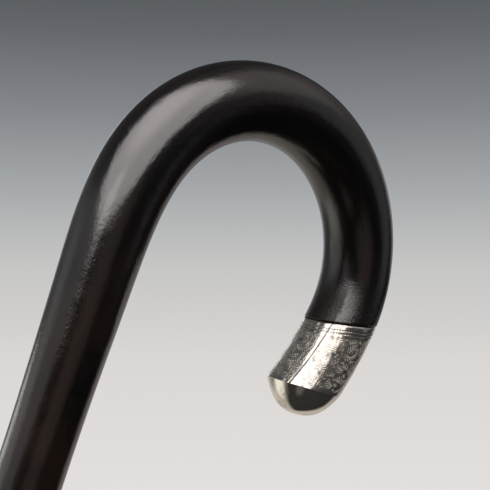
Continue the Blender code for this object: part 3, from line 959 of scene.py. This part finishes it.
surface = ferrule_radius(FERRULE_PIN_HEIGHT)
point = surface - FERRULE_WALL - FERRULE_PIN_IN_WOOD
sizes = (FERRULE_PIN_DIAMETER, FERRULE_PIN_HEAD_DIAMETER, FERRULE_PIN_HEAD_HEIGHT)
for side, angle in (("left", -math.pi / 2), ("right", math.pi / 2)):
    pin = turned(f"ferrule_pin_{side}_brass", pin_profile(point, surface, *sizes), PIN_AROUND)
    pin.location = (0, 0, FERRULE_PIN_HEIGHT)
    pin.rotation_euler = (angle, 0, 0)
    pin.data.materials.append(brass)
    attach(pin, "root")
    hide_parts(f"ferrule_pin_{side}")


# The ferrule's steel tip
# A turned steel wearing disc with a spigot, brazed into the brass. Its face is ground bright and
# scuffed by the pavement, with a little rust round the edge.

TIP_CENTRE = 0.05 * MM
TIP_CHAMFER = 0.8 * MM
SPIGOT_RADIUS = 5.8 * MM
SPIGOT_TOP = 10 * MM

STEEL = (0.5, 0.49, 0.47)
STEEL_DARK = (0.16, 0.12, 0.09)

# The face, its rounded chamfer, the disc's side, and the spigot up inside the brass
disc = FERRULE_END_DIAMETER / 2
profile = [(TIP_CENTRE, 0), (disc * 0.5, 0), (disc - TIP_CHAMFER * 1.2, 0)]
profile += [(disc - TIP_CHAMFER * 0.5, TIP_CHAMFER * 0.25), (disc - 0.1 * MM, TIP_CHAMFER * 0.8)]
profile += [(disc, TIP_CHAMFER * 1.4), (disc, TIP_THICKNESS), (SPIGOT_RADIUS, TIP_THICKNESS)]
profile += [(SPIGOT_RADIUS, SPIGOT_TOP), (TIP_CENTRE, SPIGOT_TOP)]
tip = turned("ferrule_tip_steel", profile, FERRULE_AROUND)

steel, shader, wire = new_finish("scuffed_steel", {"Metallic": 1.0})
solid = wire.node("ShaderNodeTexCoord", output="Object")
cloud = noise(wire, solid, 3 * MM, detail=4.0, roughness=0.65)
grit = noise(wire, solid, 0.5 * MM, (3, 1, 1), 3.0)
rust = cloud.rise(0.5, 0.7)
wire.feed(
    shader,
    {
        "Base Color": rust.pick(STEEL, STEEL_DARK),
        "Roughness": 0.35 + 0.3 * cloud + 0.1 * grit,
        "Normal": raised(wire, ((grit, 0.04 * MM), (cloud, 0.05 * MM))),
    },
)
tip.data.materials.append(steel)
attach(tip, "root")
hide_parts("ferrule_tip")


# The camera
# It looks slightly up at the crook from the side away from the nose, and is rolled, so that the
# shank leans.

AIM = Vector((48.3 * MM, 0, BEND_HEIGHT + 29.8 * MM))
VIEW_SIDE = math.radians(-37)
VIEW_RISE = math.radians(-6.7)
VIEW_ROLL = math.radians(17.3)
VIEW_DISTANCE = 303 * MM
VIEW_NEAREST = 10 * MM
VIEW_LENS = 69.1
VIEW_SENSOR = 36


def pointing(side, rise):
    """The direction at an angle round from the front, and an angle up."""
    flat = math.cos(rise)
    return Vector((math.sin(side) * flat, -math.cos(side) * flat, math.sin(rise)))


def axes_from(side, rise, roll=0.0):
    """Right, up and back of what looks on from that direction, rolled by an angle."""
    back = pointing(side, rise)
    right = Vector((math.cos(side), math.sin(side), 0))
    up = back.cross(right)
    rolled_right = right * math.cos(roll) + up * math.sin(roll)
    rolled_up = up * math.cos(roll) - right * math.sin(roll)
    return rolled_right, rolled_up, back


def place_by_axes(obj, axes, at):
    """Puts an object at a point, with its own axes along three directions."""
    placing = obj.matrix_world.copy()
    for axis, column in enumerate((*axes, at)):
        for row in range(3):
            placing[row][axis] = column[row]
    obj.matrix_world = placing


view_axes = axes_from(VIEW_SIDE, VIEW_RISE, VIEW_ROLL)
camera_data = bpy.data.cameras.new("view")
camera_data.lens = VIEW_LENS
camera_data.sensor_width = VIEW_SENSOR
camera_data.clip_start = VIEW_NEAREST
camera = bpy.data.objects.new("view", camera_data)
bpy.context.scene.collection.objects.link(camera)
place_by_axes(camera, view_axes, AIM + view_axes[2] * VIEW_DISTANCE)
bpy.context.scene.camera = camera


# The lamps
# One big oval soft box, up and to the left of the camera, makes the long pale band on the crook's
# shoulder and on the silver. A small lamp low behind draws a thin line down the shank's left edge.

SOFTBOX_SIDE = math.radians(-50)
SOFTBOX_RISE = math.radians(45)
SOFTBOX_TILT = math.radians(7)
SOFTBOX_DISTANCE = 0.7
SOFTBOX_ACROSS = -0.063
SOFTBOX_UP = -0.088
SOFTBOX_SIZE = (1.52, 1.06)
SOFTBOX_LEVEL = 1.7
SOFTBOX_COLOUR = (1.0, 0.95, 0.945)

EDGE_SIDE = math.radians(-157)
EDGE_RISE = math.radians(-12)
EDGE_AIM = Vector((0, 0, 0.715))
EDGE_DISTANCE = 0.25
EDGE_SIZE = (0.17, 0.26)
EDGE_LEVEL = 0.068
EDGE_COLOUR = (1.0, 1.0, 1.0)
# Its beam is narrow, so that only the shank mirrors it and not the crook's nose or the cap
EDGE_SPREAD = math.radians(34)


def hang_lamp(name, axes, at, size, level, colour, spread=math.pi):
    """An oval lamp of one level whatever its size. A narrow spread packs its light in a beam."""
    data = bpy.data.lights.new(name, "AREA")
    data.shape = "ELLIPSE"
    data.size, data.size_y = size
    data.energy = level * math.pi * math.pi / 4 * size[0] * size[1]
    data.color = colour
    data.spread = spread
    lamp = bpy.data.objects.new(name, data)
    bpy.context.scene.collection.objects.link(lamp)
    place_by_axes(lamp, axes, at)


right, up, back = axes_from(SOFTBOX_SIDE, SOFTBOX_RISE)
softbox_at = AIM + back * SOFTBOX_DISTANCE + right * SOFTBOX_ACROSS + up * SOFTBOX_UP
softbox_axes = axes_from(SOFTBOX_SIDE, SOFTBOX_RISE, SOFTBOX_TILT)
hang_lamp("softbox", softbox_axes, softbox_at, SOFTBOX_SIZE, SOFTBOX_LEVEL, SOFTBOX_COLOUR)

edge_axes = axes_from(EDGE_SIDE, EDGE_RISE)
edge_at = EDGE_AIM + edge_axes[2] * EDGE_DISTANCE
hang_lamp("edge_light", edge_axes, edge_at, EDGE_SIZE, EDGE_LEVEL, EDGE_COLOUR, EDGE_SPREAD)


# The floor and what is round it
# A pale round floor fades out into a backdrop, grey at the top and warm white at the bottom. What
# is polished mirrors a studio with a dark side, a pale paper sweep and a few pale patches.

FLOOR_RADIUS = 3.2
FLOOR_FADE = 1.6
FLOOR_AROUND = 96
FLOOR_COLOUR = (0.74, 0.72, 0.7)

bm = bmesh.new()
bmesh.ops.create_circle(bm, cap_ends=True, segments=FLOOR_AROUND, radius=FLOOR_RADIUS)
floor_mesh = bpy.data.meshes.new("floor")
bm.to_mesh(floor_mesh)
bm.free()
floor = bpy.data.objects.new("floor", floor_mesh)
bpy.context.scene.collection.objects.link(floor)
floor.visible_glossy = False
paper = {"Base Color": (*FLOOR_COLOUR, 1), "Roughness": 0.9, "Specular IOR Level": 0.1}
floor_paper, shader, wire = new_finish("floor_paper", paper)
solid = wire.node("ShaderNodeTexCoord", output="Object")
far = wire.node("ShaderNodeVectorMath", {"operation": "LENGTH"}, {0: solid}, "Value")
clear = wire.node("ShaderNodeBsdfTransparent")
solid_paper = Wire(wire.tree, shader.outputs["BSDF"])
layers = {0: far.rise(FLOOR_FADE, FLOOR_RADIUS), 1: solid_paper, 2: clear}
faded = wire.node("ShaderNodeMixShader", None, layers)
wire.feed(wire.tree.nodes["Material Output"], {"Surface": faded})
floor_mesh.materials.append(floor_paper)

# The even light of the room on what isn't polished
ROOM_LEVEL = (0.36, 0.36, 0.36)
# What the camera sees. Each stop is how far a direction leans to the top of the picture, moved to
# lie from 0 to 1, and a colour
BACKDROP_STOPS = (
    (0.0, (0.78, 0.75, 0.73)),
    (0.375, (0.767, 0.737, 0.72)),
    (0.44, (0.70, 0.677, 0.66)),
    (0.49, (0.56, 0.56, 0.553)),
    (0.53, (0.377, 0.393, 0.406)),
    (0.57, (0.228, 0.242, 0.257)),
    (0.61, (0.126, 0.136, 0.146)),
    (0.645, (0.077, 0.084, 0.089)),
    (1.0, (0.09, 0.095, 0.1)),
)
# What the lacquer and the silver mirror: the dark side of the studio and the paper sweep behind
# the crook. These stops go by height, from straight down to straight up
DARK_SIDE_STOPS = (
    (0.0, (0.012, 0.012, 0.011)),
    (0.38, (0.005, 0.005, 0.006)),
    (0.46, (0.012, 0.012, 0.013)),
    (0.54, (0.016, 0.015, 0.015)),
    (0.62, (0.045, 0.043, 0.043)),
    (0.75, (0.1, 0.094, 0.092)),
    (0.9, (0.17, 0.155, 0.15)),
    (1.0, (0.07, 0.066, 0.064)),
)
SWEEP_STOPS = (
    (0.0, (0.03, 0.03, 0.03)),
    (0.008, (0.04, 0.038, 0.034)),
    (0.03, (0.4, 0.37, 0.32)),
    (0.2, (0.56, 0.52, 0.455)),
    (0.42, (0.6, 0.58, 0.54)),
    (0.47, (0.42, 0.42, 0.415)),
    (0.57, (0.25, 0.25, 0.26)),
    (0.62, (0.11, 0.11, 0.115)),
    (0.75, (0.05, 0.05, 0.053)),
    (1.0, (0.04, 0.04, 0.042)),
)
SWEEP_SIDE = math.radians(190)
SWEEP_EDGE = (0.17, 0.42)
# Soft pale things that lie over both, each over the one before: the side and rise of the middle,
# how far out it is full and where it ends, all in degrees, and its colour
PALE_PATCHES = (
    (38, 60, 12, 36, (0.36, 0.33, 0.32)),
    (112, -15, 12, 25, (0.41, 0.355, 0.35)),
    (58, 22, 12, 24, (0.15, 0.155, 0.16)),
    (-34, -56, 3, 13, (0.1, 0.09, 0.09)),
    (-32, -22, 4, 17, (0.085, 0.072, 0.066)),
    (-15, -4, 8, 28, (0.12, 0.092, 0.082)),
    (-90, 1, 14, 30, (0.26, 0.25, 0.255)),
    (-61, 9.5, 4, 14, (1.05, 0.98, 0.97)),
    (-141, -44, 7, 21, (0.95, 0.92, 0.83)),
    (-166, -10, 12, 30, (0.17, 0.175, 0.18)),
    (120, -36, 12, 27, (0.53, 0.49, 0.43)),
    (-66, 50, 4, 33, (0.95, 0.88, 0.87)),
    (112, 18, 4, 14, (0.45, 0.43, 0.44)),
    (160, 8, 5, 18, (0.85, 0.85, 0.86)),
)

world = bpy.data.worlds.new("studio")
bpy.context.scene.world = world
world.use_nodes = True
wire = Wire(world.node_tree)
direction = wire.node("ShaderNodeTexCoord", output="Generated")


def leaning(axis):
    """How far the looked-in direction leans to an axis, from -1 to 1."""
    settings = {"operation": "DOT_PRODUCT"}
    return wire.node("ShaderNodeVectorMath", settings, {0: direction, 1: tuple(axis)}, "Value")


def stepped(stops, axis):
    """Colours that follow one another along an axis."""
    return wire.node("ShaderNodeValToRGB", {"stops": stops}, {"Fac": leaning(axis) * 0.5 + 0.5})


backdrop = stepped(BACKDROP_STOPS, view_axes[1])
on_sweep = leaning(pointing(SWEEP_SIDE, 0)).rise(*SWEEP_EDGE)
studio = on_sweep.pick(stepped(DARK_SIDE_STOPS, (0, 0, 1)), stepped(SWEEP_STOPS, (0, 0, 1)))
for side, rise, full, end, paint in PALE_PATCHES:
    axis = pointing(math.radians(side), math.radians(rise))
    inside = leaning(axis).rise(math.cos(math.radians(end)), math.cos(math.radians(full)))
    studio = inside.pick(studio, paint)
seen = wire.node("ShaderNodeLightPath", output="Is Camera Ray")
mirrored = seen.also("Is Glossy Ray")
colour = seen.pick(mirrored.pick(ROOM_LEVEL, studio), backdrop)
wire.feed(wire.tree.nodes["Background"], {"Color": colour, "Strength": 1.0})

bpy.context.scene.view_settings.view_transform = "Standard"
